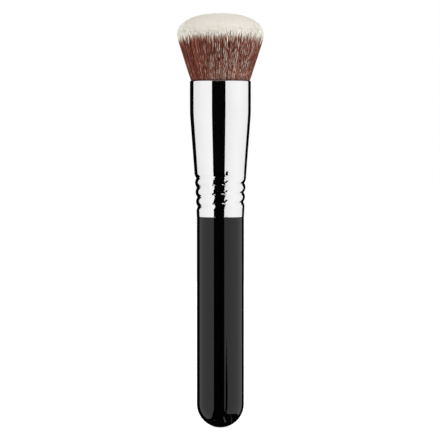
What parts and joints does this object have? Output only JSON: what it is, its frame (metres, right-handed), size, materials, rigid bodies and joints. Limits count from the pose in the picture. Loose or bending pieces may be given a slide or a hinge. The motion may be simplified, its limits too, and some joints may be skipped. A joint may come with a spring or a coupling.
{
  "type": "kabuki makeup brush",
  "caption": "Short-handled face brush with a dense domed tuft of two-tone filaments, a tapered chrome ferrule with a spiral crimp and a round-ended black lacquered handle.",
  "frame": {"origin": "lowest point of the handle's round butt, on the brush's axis", "axes": "+Z along the brush from the butt to the tuft; X and Y are equal"},
  "size_m": [0.0338, 0.0338, 0.162],
  "materials": {
    "lacquered_wood": "black gloss lacquer over turned wood",
    "chrome_plate": "mirror-bright plating",
    "resin": "cast clear amber resin",
    "binding": "tight woven tape",
    "filament": "brown synthetic filaments with cream tips"
  },
  "bodies": {
    "root": {"handle": "lacquered_wood", "ferrule": "chrome_plate", "tenon_collar": "resin", "glue_plug": "resin", "binding_band": "binding", "bristle_tuft": "filament"}
  },
  "joints": []
}
